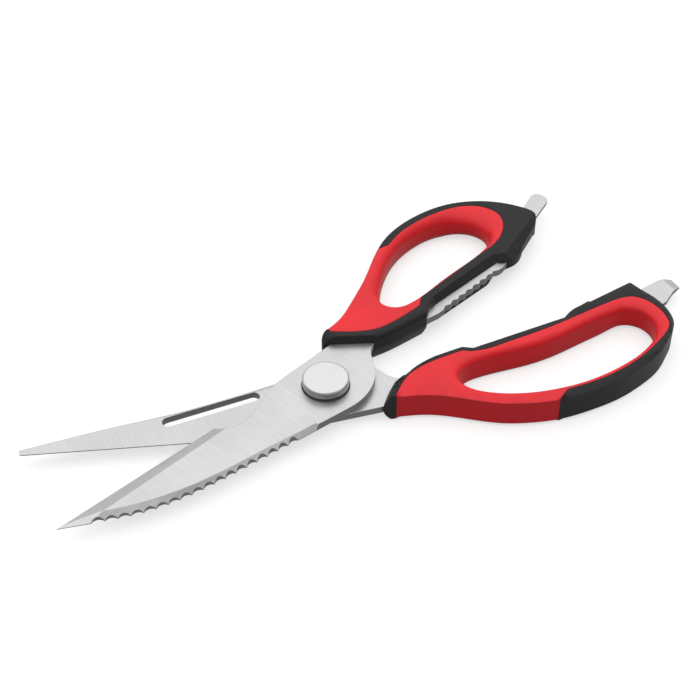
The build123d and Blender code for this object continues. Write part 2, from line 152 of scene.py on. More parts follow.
def nearest(points, guide, closed=False):
    """Signed distance to a guide, positive on its left, and the place along it, from 0 to 1."""
    start = guide if closed else guide[:-1]
    end = np.roll(guide, -1, axis=0) if closed else guide[1:]
    run = end - start
    square = np.maximum((run ** 2).sum(1), 1e-12)
    best = np.full(len(points), np.inf)
    side = np.ones(len(points))
    place = np.zeros(len(points))
    for first in range(0, len(points), POINTS_AT_ONCE):
        batch = slice(first, first + POINTS_AT_ONCE)
        p = points[batch]
        away = p[:, None, :] - start[None]
        t = np.clip((away * run[None]).sum(2) / square[None], 0, 1)
        gap = away - t[..., None] * run[None]
        far = np.hypot(gap[..., 0], gap[..., 1])
        k = far.argmin(1)
        row = np.arange(len(p))
        cross = run[k, 0] * away[row, k, 1] - run[k, 1] * away[row, k, 0]
        best[batch] = far[row, k]
        side[batch] = np.where(cross < 0, -1, 1)
        place[batch] = (k + t[row, k]) / len(start)
    return best * side, place


def offset(guide, distance, closed=False):
    """The guide moved to its left; distance may differ from point to point."""
    if closed:
        along = np.roll(guide, -1, axis=0) - np.roll(guide, 1, axis=0)
    else:
        along = np.gradient(guide, axis=0)
    along = along / np.maximum(np.hypot(*along.T), 1e-9)[:, None]
    left = np.stack([-along[:, 1], along[:, 0]], 1)
    return guide + left * np.broadcast_to(distance, len(guide))[:, None]


class Cut:
    """Material taken off a face beside a guide line: width across, depth down at the guide.

    power 1 is a flat facet, 2 a round edge. both puts mesh lines on either side of the guide, for a
    groove. past takes off all of what lies beyond the guide's right side. rings is how many mesh
    lines carry a round shape.
    """

    def __init__(self, guide, width, depth, power=2.0, closed=False, both=False, past=False, rings=5):
        self.guide = guide
        self.closed = closed
        self.width = np.broadcast_to(np.asarray(width, float), len(guide))
        self.depth = np.broadcast_to(np.asarray(depth, float), len(guide))
        self.power = power
        self.both = both
        self.past = past
        self.rings = 1 if power == 1 else rings

    def drop(self, points):
        """How far down the cut reaches at each point."""
        far, place = nearest(points, self.guide, self.closed)
        if not self.past:
            far = np.abs(far)
        marks = np.linspace(0, 1, len(self.guide))
        width = np.maximum(np.interp(place, marks, self.width), NARROWEST)
        depth = np.interp(place, marks, self.depth)
        share = np.clip(1 - far / width, 0, 1)
        return depth * (1 - np.maximum(1 - share ** self.power, 0) ** (1 / self.power))

    def lines(self):
        """Rings of mesh lines that carry the cut's shape."""
        for k in range(1, self.rings + 1):
            share = 1 - math.cos(math.pi / 2 * k / self.rings) if self.power > 1 else 1
            yield offset(self.guide, self.width * share, self.closed)
            if self.both:
                yield offset(self.guide, -self.width * share, self.closed)
        if self.both:
            yield self.guide


def within(points, outline, holes):
    """Which points lie in the plate and outside its holes."""
    keep = inside(points, outline)
    for hole in holes:
        keep &= ~inside(points, hole)
    return keep


def clear(points, outline, holes, gap):
    """Which points lie in the plate, further than a gap from its borders."""
    keep = within(points, outline, holes)
    for loop in (outline, *holes):
        far, _ = nearest(points, loop, True)
        keep &= np.abs(far) > gap
    return keep


def deepest(points, cuts, most):
    """The deepest of the cuts at each point."""
    drop = np.zeros(len(points))
    for cut in cuts:
        drop = np.maximum(drop, cut.drop(points))
    return np.minimum(drop, most)


def relief(outline, holes, low, high, top=(), under=(), grid=0):
    """A plate with cuts on both faces, as flat points, triangles, and lower and upper heights."""
    loops = [outline, *holes]
    points = np.vstack(loops)
    edges = []
    at = 0
    for loop in loops:
        edges += [(at + k, at + (k + 1) % len(loop)) for k in range(len(loop))]
        at += len(loop)
    for cut in (*top, *under):
        for line in cut.lines():
            keep = clear(line, outline, holes, LINE_CLEARANCE)
            numbers = np.full(len(line), -1)
            numbers[keep] = len(points) + np.arange(keep.sum())
            points = np.vstack([points, line[keep]])
            for a, b in zip(numbers[:-1], numbers[1:]):
                if a >= 0 and b >= 0:
                    edges.append((int(a), int(b)))
    if grid:
        low_corner, high_corner = outline.min(0), outline.max(0)
        xs = np.arange(low_corner[0], high_corner[0], grid)
        ys = np.arange(low_corner[1], high_corner[1], grid)
        mesh = np.stack(np.meshgrid(xs, ys), -1).reshape(-1, 2)
        points = np.vstack([points, mesh[clear(mesh, outline, holes, grid / 2)]])
    found = delaunay_2d_cdt([Vector(p) for p in points], edges, [], 0, DRAWING_TOLERANCE)
    flat = np.array([tuple(v) for v in found[0]])
    faces = np.array(found[2])
    faces = faces[within(flat[faces].mean(1), outline, holes)]
    low_height = low + deepest(flat, under, high - low)
    top_height = np.maximum(high - deepest(flat, top, high - low), low_height)
    return flat, faces, low_height, top_height


def place(turn, point, height):
    """A drawn point in the part's frame, in metres."""
    angle = math.radians(turn)
    x = point[0] * math.cos(angle) - point[1] * math.sin(angle)
    y = point[0] * math.sin(angle) + point[1] * math.cos(angle)
    return Vector((x * MM, y * MM, (height + SHEAR_HEIGHT) * MM))


def piece_from(name, work):
    """An object in the scene from a finished bmesh."""
    mesh = bpy.data.meshes.new(name)
    work.to_mesh(mesh)
    work.free()
    piece = bpy.data.objects.new(name, mesh)
    bpy.context.scene.collection.objects.link(piece)
    return piece


def shell(name, drawing, turn, choose=None, sections=4):
    """A closed object from a relief.

    choose picks the triangles that belong to it. sections is how many bands its walls have.
    """
    flat, faces, low_height, top_height = drawing
    work = bmesh.new()
    top = [work.verts.new(place(turn, p, h)) for p, h in zip(flat, top_height)]
    low = [work.verts.new(place(turn, p, h)) for p, h in zip(flat, low_height)]
    uses = {}
    for triangle in faces:
        for a, b in zip(triangle, np.roll(triangle, -1)):
            key = (min(a, b), max(a, b))
            uses[key] = uses.get(key, 0) + 1
    mine = faces if choose is None else faces[choose(flat[faces].mean(1))]
    area = flat[mine]
    turns = np.cross(area[:, 1] - area[:, 0], area[:, 2] - area[:, 0])
    for triangle, way in zip(mine, turns):
        order = triangle if way > 0 else triangle[::-1]
        work.faces.new([top[k] for k in order])
        work.faces.new([low[k] for k in order[::-1]])
    walls = {}

    def column(k):
        """The wall's points under one point of the border, from the lowest up."""
        if k not in walls:
            rise = top_height[k] - low_height[k]
            between = [
                work.verts.new(place(turn, flat[k], low_height[k] + rise * s / sections))
                for s in range(1, sections)
            ]
            walls[k] = [low[k], *between, top[k]]
        return walls[k]

    for triangle, way in zip(mine, turns):
        order = list(triangle if way > 0 else triangle[::-1])
        for a, b in zip(order, order[1:] + order[:1]):
            if uses[(min(a, b), max(a, b))] == 1:
                first, second = column(a), column(b)
                for s in range(sections):
                    work.faces.new([first[s], second[s], second[s + 1], first[s + 1]])
    loose = [v for v in work.verts if not v.link_faces]
    bmesh.ops.delete(work, geom=loose, context="VERTS")
    bmesh.ops.remove_doubles(work, verts=work.verts, dist=WELD)
    bmesh.ops.dissolve_degenerate(work, dist=SLIVER, edges=work.edges)
    bmesh.ops.recalc_face_normals(work, faces=work.faces)
    return piece_from(name, work)


def soften(piece, degrees):
    """Smooth shading with edges kept where faces meet at a sharper angle."""
    piece.data.shade_smooth()
    piece.data.set_sharp_from_angle(angle=math.radians(degrees))


# Outlines of the two handles

upper_front = spread([(-0.092, -0.318), (-0.217, -0.122)], UPPER_HANDLE)
upper_collar = spread([
    (-0.217, -0.122), (-0.268, -0.108), (-0.339, -0.104), (-0.409, -0.106),
], UPPER_HANDLE)
upper_shoulder = spread([
    (-0.409, -0.106), (-0.423, -0.132), (-0.437, -0.159), (-0.452, -0.176), (-0.473, -0.186),
], UPPER_HANDLE)
upper_recess = spread([(-0.473, -0.186), (-0.754, -0.273)], UPPER_HANDLE)
upper_block = spread([
    (-0.754, -0.273), (-0.781, -0.234), (-0.825, -0.236), (-0.872, -0.303),
], UPPER_HANDLE)
upper_ridge = spread([(-0.872, -0.303), (-0.973, -0.422)], UPPER_HANDLE)
upper_back = spread([
    (-0.973, -0.422), (-1.000, -0.501), (-0.989, -0.603), (-0.896, -0.862), (-0.804, -0.969),
    (-0.692, -1.000), (-0.534, -0.925), (-0.354, -0.644), (-0.265, -0.515), (-0.177, -0.409),
    (-0.132, -0.383),
], UPPER_HANDLE)
upper_nose = spread([(-0.132, -0.383), (-0.104, -0.363), (-0.092, -0.318)], UPPER_HANDLE)
upper_loop = smooth(spread([
    (-0.732, -0.407), (-0.625, -0.360), (-0.536, -0.326), (-0.446, -0.287), (-0.402, -0.279),
    (-0.362, -0.299), (-0.341, -0.371), (-0.361, -0.481), (-0.446, -0.676), (-0.536, -0.807),
    (-0.625, -0.872), (-0.696, -0.884), (-0.768, -0.843), (-0.814, -0.745), (-0.827, -0.621),
    (-0.796, -0.481),
], UPPER_HANDLE), closed=True)
upper_seam = chain(
    smooth(spread([
        (-0.132, -0.348), (-0.179, -0.263), (-0.250, -0.183), (-0.304, -0.173), (-0.413, -0.196),
    ], UPPER_HANDLE)),
    straight(spread([(-0.413, -0.196), (-0.442, -0.257), (-0.714, -0.371)], UPPER_HANDLE)),
    smooth(spread([
        (-0.714, -0.371), (-0.804, -0.413), (-0.870, -0.513), (-0.900, -0.642), (-0.889, -0.762),
        (-0.848, -0.862), (-0.754, -0.931), (-0.670, -0.937), (-0.580, -0.902), (-0.520, -0.845),
    ], UPPER_HANDLE)),
    straight(spread([(-0.520, -0.845), (-0.455, -0.859)], UPPER_HANDLE)),
)
upper_seam_outside = spread([(-0.455, -1.200), (-0.132, -1.200)], UPPER_HANDLE)

lower_front = spread([(-0.124, 0.456), (-0.147, 0.310), (-0.182, 0.156)], LOWER_HANDLE)
lower_collar = spread([
    (-0.182, 0.156), (-0.215, 0.105), (-0.245, 0.044), (-0.313, -0.028), (-0.392, -0.075),
], LOWER_HANDLE)
lower_recess = spread([(-0.392, -0.075), (-0.420, -0.024), (-0.707, -0.214)], LOWER_HANDLE)
lower_block = spread([(-0.707, -0.214), (-0.742, -0.316), (-0.773, -0.361)], LOWER_HANDLE)
lower_stub = spread([
    (-0.773, -0.361), (-0.781, -0.376), (-0.797, -0.400), (-0.803, -0.388),
], LOWER_HANDLE)
lower_ridge = spread([(-0.803, -0.388), (-0.942, -0.571)], LOWER_HANDLE)
lower_back = spread([
    (-0.953, -0.548), (-0.966, -0.429), (-0.987, -0.252), (-0.999, 0.061), (-0.990, 0.218),
    (-0.958, 0.391), (-0.908, 0.595), (-0.840, 0.759), (-0.756, 0.895), (-0.672, 0.966),
    (-0.588, 1.000), (-0.504, 0.969), (-0.420, 0.878), (-0.336, 0.707), (-0.252, 0.544),
    (-0.202, 0.493), (-0.162, 0.469),
], LOWER_HANDLE)
lower_loop = smooth(spread([
    (-0.370, 0.218), (-0.420, 0.146), (-0.504, 0.119), (-0.588, 0.099), (-0.672, 0.034),
    (-0.756, -0.068), (-0.840, -0.167), (-0.891, -0.201), (-0.927, -0.109), (-0.943, 0.088),
    (-0.929, 0.286), (-0.889, 0.449), (-0.840, 0.575), (-0.756, 0.714), (-0.672, 0.796),
    (-0.566, 0.820), (-0.479, 0.776), (-0.395, 0.646), (-0.353, 0.497), (-0.345, 0.354),
], LOWER_HANDLE), closed=True)
lower_seam = chain(
    smooth(spread([
        (-0.160, 0.459), (-0.182, 0.341), (-0.209, 0.224), (-0.240, 0.143), (-0.294, 0.066),
        (-0.386, -0.004),
    ], LOWER_HANDLE)),
    straight(spread([(-0.386, -0.004), (-0.405, 0.034)], LOWER_HANDLE)),
    smooth(spread([
        (-0.405, 0.034), (-0.439, 0.048), (-0.504, 0.015), (-0.630, -0.078), (-0.714, -0.160),
        (-0.845, -0.299), (-0.890, -0.330), (-0.924, -0.316), (-0.951, -0.231), (-0.971, -0.078),
        (-0.978, 0.109), (-0.971, 0.248), (-0.947, 0.357), (-0.897, 0.503), (-0.840, 0.646),
        (-0.756, 0.789), (-0.672, 0.867), (-0.602, 0.898),
    ], LOWER_HANDLE)),
    straight(spread([(-0.602, 0.898), (-0.559, 1.037)], LOWER_HANDLE)),
)
lower_seam_outside = spread([(-0.559, 1.300), (-0.160, 1.300)], LOWER_HANDLE)

# The two mouldings: edges, seam groove and mesh
GROOVE_WIDTH = 0.22
GROOVE_DEPTH = 0.3
UPPER_LOOP_DEPTH = 4.2
LOWER_LOOP_DEPTH = 2.4
BAR_FLARE = 0.45
HANDLE_GRID = 2.5
HANDLE_SECTIONS = 6
HANDLE_CREASE = 32


def chain_open(*runs):
    """One guide from runs that meet end to end."""
    return np.vstack([runs[0], *(run[1:] for run in runs[1:])])


def clockwise(loop):
    """A loop turned so that the moulding lies to the left of its run."""
    area = (loop[:, 0] * np.roll(loop[:, 1], -1) - np.roll(loop[:, 0], -1) * loop[:, 1]).sum()
    return loop if area < 0 else loop[::-1]


def eased(guide, shares, sizes):
    """Sizes along a guide, from those at shares of its points."""
    return np.interp(np.linspace(0, 1, len(guide)), shares, sizes)


def handle(name, turn, outline, loop, seam, outside, top, under, loop_width, loop_depth):
    """Both mouldings of one handle, core and grip, from one relief split at the seam."""
    loop = clockwise(loop)
    shared = [
        Cut(loop, loop_width(loop), loop_depth, closed=True, rings=8),
        Cut(seam, GROOVE_WIDTH, GROOVE_DEPTH, both=True, rings=2),
    ]
    drawing = relief(
        outline, [loop], -HALF_HANDLE, HALF_HANDLE, [*top, *shared], [*under, *shared],
        grid=HANDLE_GRID,
    )
    red = np.vstack([seam, outside])
    core = shell(name + "_core", drawing, turn, lambda p: ~inside(p, red), HANDLE_SECTIONS)
    grip = shell(name + "_grip", drawing, turn, lambda p: inside(p, red), HANDLE_SECTIONS)
    for piece in (core, grip):
        soften(piece, HANDLE_CREASE)
    return core, grip


def upper_loop_width(loop):
    """Flare of the upper loop: tight along the bar, wide at the back and at both ends."""
    x, y = loop.T
    flare = np.interp(x, [-92, -84, -60, -46, -38], [7.0, 3.5, 3.2, 4.0, 5.0])
    beside_bar = y > np.interp(x, [-90, -40], [-28, -22])
    return flare * np.where(beside_bar, BAR_FLARE, 1.0)


def lower_loop_width(loop):
    """Edge of the lower loop: tight along its sides, soft round its back end."""
    return np.interp(loop[:, 0], [-113, -105, -96, -55, -45], [5.0, 4.2, 2.2, 2.0, 2.6])


# Upper handle

RIBS = 3
RIB_SHIFT = spread([(-0.0121, -0.0130)], UPPER_HANDLE)

front = straight(upper_front)
collar = smooth(upper_collar)
shoulder = smooth(upper_shoulder)
recess = straight(upper_recess)
block = smooth(upper_block)
ridge = straight(upper_ridge)
back = smooth(upper_back)
nose = smooth(upper_nose)
beak_guide = straight(spread([(-0.092, -0.220), (-0.092, -0.460)], UPPER_HANDLE))[::-1]
ridge_guide = straight(spread([(-0.800, -0.187), (-1.020, -0.422)], UPPER_HANDLE))
block_front = straight(spread([(-0.745, -0.285), (-0.785, -0.230)], UPPER_HANDLE))
rib_groove = straight(spread([(-0.837, -0.307), (-0.821, -0.214)], UPPER_HANDLE), 0.3)
rib_depth = eased(rib_groove, [0, 1], [1.3, 4.5])
front_edge = Cut(front, width=1.1, depth=5.0, power=1.2)
beak_edge = Cut(beak_guide, width=4.3, depth=5.2, power=1.6)
upper_core, upper_grip = handle(
    "upper", UPPER_TURN, chain(front, collar, shoulder, recess, block, ridge, back, nose),
    upper_loop, upper_seam, upper_seam_outside,
    [
        front_edge,
        Cut(collar, width=1.9, depth=1.8),
        Cut(shoulder, width=1.0, depth=1.2),
        Cut(recess, width=eased(recess, [0, 1], [1.3, 2.1]), depth=2.95, power=1),
        Cut(block_front, width=1.7, depth=2.4, power=1),
        Cut(block, width=0.5, depth=0.5),
        Cut(ridge_guide, width=4.5, depth=3.7, power=1, past=True),
        *(
            Cut(rib_groove + k * RIB_SHIFT, width=0.42, depth=rib_depth, power=3, both=True, rings=3)
            for k in range(RIBS)
        ),
        Cut(ridge, width=0.5, depth=0.5),
        Cut(back, width=0.7, depth=0.7),
        beak_edge,
        Cut(nose, width=0.4, depth=0.4),
    ],
    [
        front_edge,
        Cut(collar, width=2.1, depth=5.2, power=1.2),
        Cut(shoulder, width=2.0, depth=4.6, power=1.3),
        Cut(recess, width=0.9, depth=0.9),
        Cut(chain_open(block, ridge), width=4.9, depth=5.3, power=1),
        Cut(back, width=0.9, depth=0.9),
        beak_edge,
    ],
    upper_loop_width, UPPER_LOOP_DEPTH,
)


# Lower handle

front = smooth(lower_front)
collar = smooth(lower_collar)
recess = straight(lower_recess)
block = smooth(lower_block)
stub = straight(lower_stub)
ridge = straight(lower_ridge)
heel = straight([lower_ridge[-1], lower_back[0]])
back = smooth(lower_back)
beak_side = straight([lower_back[-1], lower_front[0]])
inner_side = chain_open(collar, recess, block, stub, ridge, heel)
beak_guide = chain_open(front, collar)
beak_share = len(front) / len(beak_guide)
beak_marks = [0, 0.35 * beak_share, beak_share, 0.6 + 0.4 * beak_share, 1]
beak_edge = Cut(
    beak_guide, width=eased(beak_guide, beak_marks, [4.2, 1.7, 1.0, 0.6, 0.5]),
    depth=eased(beak_guide, beak_marks, [5.1, 5.1, 3.2, 0.8, 0.5]), power=1.5,
)
lower_core, lower_grip = handle(
    "lower", LOWER_TURN, chain(front, inner_side, back, beak_side),
    lower_loop, lower_seam, lower_seam_outside,
    [
        beak_edge,
        Cut(inner_side, width=0.55, depth=0.55),
        Cut(back, width=1.1, depth=1.0),
        Cut(beak_side, width=0.4, depth=0.4),
    ],
    [
        beak_edge,
        Cut(inner_side, width=1.4, depth=1.6),
        Cut(back, width=1.2, depth=1.2),
        Cut(beak_side, width=0.6, depth=0.6),
    ],
    lower_loop_width, LOWER_LOOP_DEPTH,
)


# Blades

BORE = 2.55
RUNNING_GAP = 0.02
BLADE_CREASE = 11
BEVEL_START = 13.2
BEVEL_RUN_OUT = 0.9
BACK_STATIONS = [13, 20, 30, 45, 55, 65, 75, 85, 92, 97]
BACK_WIDTHS = [0.9, 0.95, 1.3, 1.4, 1.7, 2.2, 2.5, 2.3, 1.5, 0.6]
BACK_DEPTH = 2.2
SCALER_PITCH = 3.84
SCALER_START = 0.54
SCALER_TEETH = 18
SCALER_DEPTHS = (1.15, 0.8)
SCALER_RADIUS = 2.4
CRACKER_TEETH = 7
CRACKER_PITCH = 3.75
CRACKER_DEPTH = 0.9
CRACKER_GAP = 0.5
CRACKER_ROUND = 0.8
MICRO_PITCH = 0.9
MICRO_DEPTH = 0.12
TOOTH_STEP = 0.15
SCALLOP_STEP = 0.12
CUTTING_BEVEL = ((4.2, 5.6), 2.25)
UNDER_BEVEL = (6.0, 2.1)
LIFTER_BEVEL = (3.3, 1.2)
SLOT = ((22.9, -3.8), (50.8, -0.3), 2.12)
DRIVER_HEIGHTS = (0.65, 1.85)
LIFTER_HEIGHTS = (-2.05, -0.45)

upper_heel_neck = spread([
    (-0.132, -1.141), (-0.052, -1.023), (0.052, -0.898), (0.136, -0.781),
], BLADE)
upper_notch = spread([
    (0.136, -0.781), (0.206, -0.500), (0.258, -0.273), (0.327, -0.145), (0.375, -0.266),
    (0.391, -0.555),
], BLADE)
upper_tip = spread([(1.000, -0.023)], BLADE)
upper_back_curve = smooth(spread([
    (0.474, 1.000), (0.598, 0.961), (0.711, 0.844), (0.814, 0.617), (0.909, 0.289),
], BLADE), 0.2)
upper_neck_back = spread([
    (0.020, 1.000), (-0.025, 0.985), (-0.062, 0.930), (-0.103, 0.797), (-0.157, 0.469),
    (-0.196, 0.000), (-0.221, -0.320), (-0.261, -0.523),
], BLADE)
upper_tang_front = spread([(-0.300, -0.133), (-0.409, -0.106), (-0.455, -0.104)], UPPER_HANDLE)
upper_tang_rear = spread([
    (-0.714, -0.222), (-0.732, -0.208), (-0.750, -0.212), (-0.786, -0.242), (-0.860, -0.330),
    (-0.940, -0.450), (-0.940, -0.600), (-0.860, -0.455), (-0.714, -0.360), (-0.446, -0.240),
    (-0.150, -0.355),
], UPPER_HANDLE)
upper_crests = spread([(-0.478, -0.113), (-0.693, -0.196)], UPPER_HANDLE)


def scalloped(line):
    """A line with the scaler's round scallops bitten out of its left side."""
    steps = np.hypot(*np.diff(line, axis=0).T)
    way = np.concatenate([[0], np.cumsum(steps)])
    fine = np.arange(0, way[-1], SCALLOP_STEP)
    run = np.stack([np.interp(fine, way, line[:, k]) for k in (0, 1)], 1)
    tooth = (fine - SCALER_START) / SCALER_PITCH
    phase = (tooth - np.floor(tooth) - 0.5) * SCALER_PITCH
    depth = np.interp(tooth, [0, SCALER_TEETH], SCALER_DEPTHS)
    bite = np.sqrt(np.maximum(SCALER_RADIUS ** 2 - phase ** 2, 0)) - (SCALER_RADIUS - depth)
    bite = np.where((tooth >= 0) & (tooth < SCALER_TEETH), np.maximum(bite, 0), 0)
    return offset(run, bite)


def cracker(crests, side):
    """A row of rounded nutcracker teeth along a line of crests, cut into its left, or right at -1."""
    heading = crests[1] - crests[0]
    heading = heading / np.hypot(*heading)
    left = np.array([-heading[1], heading[0]])
    way = np.arange(0, CRACKER_TEETH * CRACKER_PITCH, TOOTH_STEP)
    wave = (way / CRACKER_PITCH) % 1
    deep = CRACKER_DEPTH * (1 - np.abs(1 - 2 * wave)) ** CRACKER_ROUND
    return crests[0] + heading * way[:, None] + side * left * deep[:, None]


def serrated(line):
    """A cutting edge with its fine, ground serrations."""
    way = np.concatenate([[0], np.cumsum(np.hypot(*np.diff(line, axis=0).T))])
    return offset(line, MICRO_DEPTH * np.abs(np.sin(math.pi * way / MICRO_PITCH)))


def ring(radius, samples=64):
    """A round hole about the pivot's axis, run clockwise so that the plate lies to its left."""
    angle = np.linspace(0, 2 * math.pi, samples, endpoint=False)
    return radius * np.stack([np.cos(angle), -np.sin(angle)], 1)


def obround(start, end, radius, samples=20):
    """A slot's outline, run clockwise so that the plate lies to its left."""
    heading = math.atan2(end[1] - start[1], end[0] - start[0])
    far = heading + math.pi / 2 - np.linspace(0, math.pi, samples)
    near = far - math.pi
    return np.vstack([
        np.array(end) + radius * np.stack([np.cos(far), np.sin(far)], 1),
        np.array(start) + radius * np.stack([np.cos(near), np.sin(near)], 1),
    ])


def join(first, second):
    """Two meshes as one object, under the first one's name."""
    work = bmesh.new()
    work.from_mesh(first.data)
    work.from_mesh(second.data)
    work.to_mesh(first.data)
    work.free()
    mesh = second.data
    bpy.data.objects.remove(second)
    bpy.data.meshes.remove(mesh)
    return first


# Upper blade

upper_edge = serrated(straight([upper_notch[-1], upper_tip[0]], TOOTH_STEP))
edge_width = np.linspace(*CUTTING_BEVEL[0], len(upper_edge))
upper_front_back = straight([upper_tip[0], upper_back_curve[-1]], 0.4)
upper_back_line = chain(
    upper_back_curve[::-1], straight([upper_back_curve[0], upper_neck_back[0]], 0.3),
)
upper_outline = chain(
    upper_edge, upper_front_back, scalloped(upper_back_line),
    smooth(upper_neck_back), straight([upper_neck_back[-1], *upper_tang_front, upper_crests[0]]),
    cracker(upper_crests, 1), straight(upper_tang_rear),
    straight([upper_tang_rear[-1], upper_heel_neck[0]]), smooth(upper_heel_neck),
    smooth(upper_notch, 0.3),
)
back_guide = chain(upper_front_back, upper_back_line)
back_depth = np.interp(back_guide[:, 0], [BEVEL_START - BEVEL_RUN_OUT, BEVEL_START], [0, BACK_DEPTH])
back_width = np.interp(back_guide[:, 0], BACK_STATIONS, BACK_WIDTHS)
upper_drawing = relief(
    upper_outline, [ring(BORE)], RUNNING_GAP, PLATE,
    [
        Cut(upper_edge, width=edge_width, depth=CUTTING_BEVEL[1], power=1),
        Cut(back_guide, width=back_width, depth=back_depth, power=1, past=True),
    ],
)
driver_end = smooth(spread([
    (-1.090, -0.596), (-1.110, -0.628), (-1.114, -0.668), (-1.108, -0.712), (-1.094, -0.737),
    (-1.078, -0.733),
], UPPER_HANDLE), 0.3)
driver_root = spread([(-0.940, -0.570), (-0.940, -0.440)], UPPER_HANDLE)
driver_outline = chain(driver_end, straight([driver_end[-1], *driver_root, driver_end[0]]))
upper_blade = join(
    shell("upper_blade_plate", upper_drawing, UPPER_TURN, sections=2),
    shell("driver", relief(driver_outline, [], *DRIVER_HEIGHTS), UPPER_TURN, sections=1),
)
soften(upper_blade, BLADE_CREASE)


# Lower blade

lower_notch = spread([(0.227, 0.953), (0.309, 0.727), (0.392, 0.859), (0.433, 0.891)], BLADE)
lower_tip = spread([(1.002, 0.070), (1.002, -0.086)], BLADE)
lower_spine = smooth(spread([
    (1.002, -0.086), (0.722, -0.227), (0.515, -0.312), (0.309, -0.469), (0.139, -0.656),
], BLADE))
lower_neck = spread([
    (0.139, -0.656), (0.103, -0.672), (0.052, -0.875), (0.000, -1.047), (-0.052, -1.094),
    (-0.103, -0.969), (-0.155, -0.695), (-0.190, -0.437), (-0.212, -0.133), (-0.240, 0.070),
], BLADE)
lower_neck_corner = spread([(-0.155, 0.953)], BLADE)
lower_tang_front = spread([(-0.245, 0.080), (-0.392, -0.080), (-0.425, -0.090)], LOWER_HANDLE)
lower_tang_rear = spread([
    (-0.672, -0.300), (-0.690, -0.330), (-0.739, -0.300), (-0.807, -0.357), (-0.930, -0.520),
    (-0.960, -0.230), (-0.900, -0.275), (-0.714, -0.100), (-0.395, 0.060), (-0.200, 0.370),
], LOWER_HANDLE)
lower_crests = upper_crests + np.array([0, CRACKER_GAP])
lower_edge = straight([lower_tip[0], lower_notch[-1]], 0.4)
lower_outline = chain(
    lower_edge, smooth(lower_notch)[::-1],
    straight([lower_notch[0], lower_neck_corner[0], lower_tang_rear[-1]]),
    straight(lower_tang_rear[::-1]), cracker(lower_crests, -1)[::-1],
    straight([lower_crests[0], *lower_tang_front[::-1], lower_neck[-1]]),
    smooth(lower_neck)[::-1], lower_spine[::-1], straight(lower_tip[::-1]),
)
spine_guide = lower_spine[::-1]
spine_width = np.interp(spine_guide[:, 0], [13, 20, 50, 70, 97], [1.5, 1.5, 1.0, 0.1, 0.1])
spine_depth = np.interp(spine_guide[:, 0], [13, 50, 70, 97], [0.7, 0.6, 0.05, 0.05])
lower_drawing = relief(
    lower_outline, [ring(BORE), obround(*SLOT)], -PLATE, -RUNNING_GAP,
    [Cut(spine_guide, width=spine_width, depth=spine_depth, power=1)],
    [Cut(lower_edge, *UNDER_BEVEL, power=1)],
)
lifter_outline = straight(spread([
    (-0.940, -0.540), (-1.009, -0.643), (-1.057, -0.711), (-1.100, -0.718), (-1.108, -0.558),
    (-1.074, -0.469), (-1.040, -0.337), (-0.950, -0.160), (-0.940, -0.540),
], LOWER_HANDLE))[-2::-1]
lifter_edge = straight(spread([(-1.108, -0.558), (-1.100, -0.718)], LOWER_HANDLE))
lifter_drawing = relief(
    lifter_outline, [], *LIFTER_HEIGHTS, [Cut(lifter_edge, *LIFTER_BEVEL, power=1)],
)
lower_blade = join(
    shell("lower_blade_plate", lower_drawing, LOWER_TURN, sections=2),
    shell("lifter", lifter_drawing, LOWER_TURN, sections=1),
)
soften(lower_blade, BLADE_CREASE)


# Pivot


def turned(name, profile, samples=128):
    """A body turned about the pivot's axis, from pairs of radius and height over the undersides."""
    work = bmesh.new()
    rings = []
    for radius, height in profile:
        if radius == 0:
            rings.append([work.verts.new((0, 0, height * MM))] * samples)
            continue
        rings.append([
            work.verts.new((
                radius * MM * math.cos(2 * math.pi * k / samples),
                radius * MM * math.sin(2 * math.pi * k / samples), height * MM,
            ))
            for k in range(samples)
        ])
    for first, second in zip(rings[:-1], rings[1:]):
        for k in range(samples):
            corner = (first[k], first[(k + 1) % samples], second[(k + 1) % samples], second[k])
            work.faces.new(list(dict.fromkeys(corner)))
    bmesh.ops.recalc_face_normals(work, faces=work.faces)
    return piece_from(name, work)


def rounded(radius, height, size, steps=8):
    """The quarter circle over a turned body's rim, from its side to its top."""
    return [
        (radius - size + size * math.cos(math.pi / 2 * k / steps),
         height - size + size * math.sin(math.pi / 2 * k / steps))
        for k in range(steps + 1)
    ]


HEAD_LOW = 8.35
HEAD_TOP = 11.45
HEAD_RADIUS = 7.55
HEAD_CHAMFER = 0.35
HEAD_RIM = 0.8
HEAD_CREASE = 30
head = turned("pivot_head", [
    (0, HEAD_LOW), (HEAD_RADIUS - HEAD_CHAMFER, HEAD_LOW), (HEAD_RADIUS, HEAD_LOW + HEAD_CHAMFER),
    *rounded(HEAD_RADIUS, HEAD_TOP, HEAD_RIM), (0, HEAD_TOP),
])
soften(head, HEAD_CREASE)


# Materials

GROUND_DARK = (0.575, 0.58, 0.575)
GROUND_LIGHT = (0.75, 0.755, 0.75)
SMUDGE = (0.55, 0.55, 0.56)
SCRATCH = (0.80, 0.80, 0.79)
# Tones of the blades' sides from the stamping, darkened by painted shade
STAMPED_SHADED_DARK = (0.11, 0.11, 0.115)
STAMPED_SHADED_LIGHT = (0.26, 0.26, 0.26)
GROUND_EDGE = (0.82, 0.82, 0.81)
PLATED_EDGE_HIGHLIGHT = (0.88, 0.88, 0.87)
CHROME = (0.74, 0.74, 0.74)
ZINC = (0.60, 0.61, 0.63)
BLACK = (0.022, 0.0205, 0.022)
BLACK_WORN = (0.09, 0.09, 0.09)
RED = (0.85, 0.022, 0.032)
# Pale red of worn grain and scuffs, also of the painted edge highlight
RED_WORN_AND_HIGHLIGHT = (0.90, 0.12, 0.13)
WASHER = (0.030, 0.030, 0.032)
BRUSH_TILT = 9
SCRATCH_TILT = 24
SCUFF_ANGLES = (31, -52)
# Share of the plated colour left on walls, as painted shade
PLATED_SIDE_SHADE = 0.42
PLATED_DULL = 0.84
MOULDED_DEEP = 0.86
